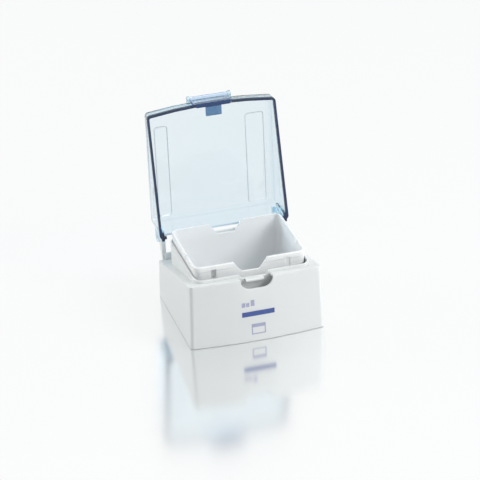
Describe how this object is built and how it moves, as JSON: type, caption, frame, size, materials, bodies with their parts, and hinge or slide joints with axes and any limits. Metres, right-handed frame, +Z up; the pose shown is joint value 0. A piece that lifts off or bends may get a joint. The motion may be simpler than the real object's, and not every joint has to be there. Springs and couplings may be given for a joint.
{
  "type": "pipette tip box",
  "caption": "Hinged storage box for pipette tips: white base with an open inner rack, and a clear blue wedge lid that swings up and snaps shut with a clip.",
  "frame": {"origin": "middle of the base's footprint, on the table", "axes": "+Z up, -Y to the front with the clip and the finger notch, +Y to the hinge, +X to the right seen from the front"},
  "size_m": [0.12, 0.1384, 0.1765],
  "materials": {
    "base_white": "satin moulded polypropylene, opaque white",
    "rack_white": "satin moulded polypropylene, opaque white",
    "lid_blue": "polished clear plastic, very light blue, dark blue along its edges",
    "clip_blue": "polished clear plastic, deep blue"
  },
  "bodies": {
    "base": {"base_shell": "base_white", "tip_rack": "rack_white"},
    "lid": {"lid": "lid_blue"},
    "clip": {"lid_clip": "clip_blue"}
  },
  "joints": [
    {"name": "lid_hinge", "type": "hinge", "parent": "base", "child": "lid", "pos_m": [0, 0.06, 0.054], "axis": [1, 0, 0], "range_deg": [0, 91]},
    {"name": "clip_turn", "type": "hinge", "parent": "lid", "child": "clip", "pos_m": [0, 0.07649, 0.17365], "axis": [-1, 0, 0], "range_deg": [0, 12], "stiffness_Nm_per_rad": 0.03}
  ]
}
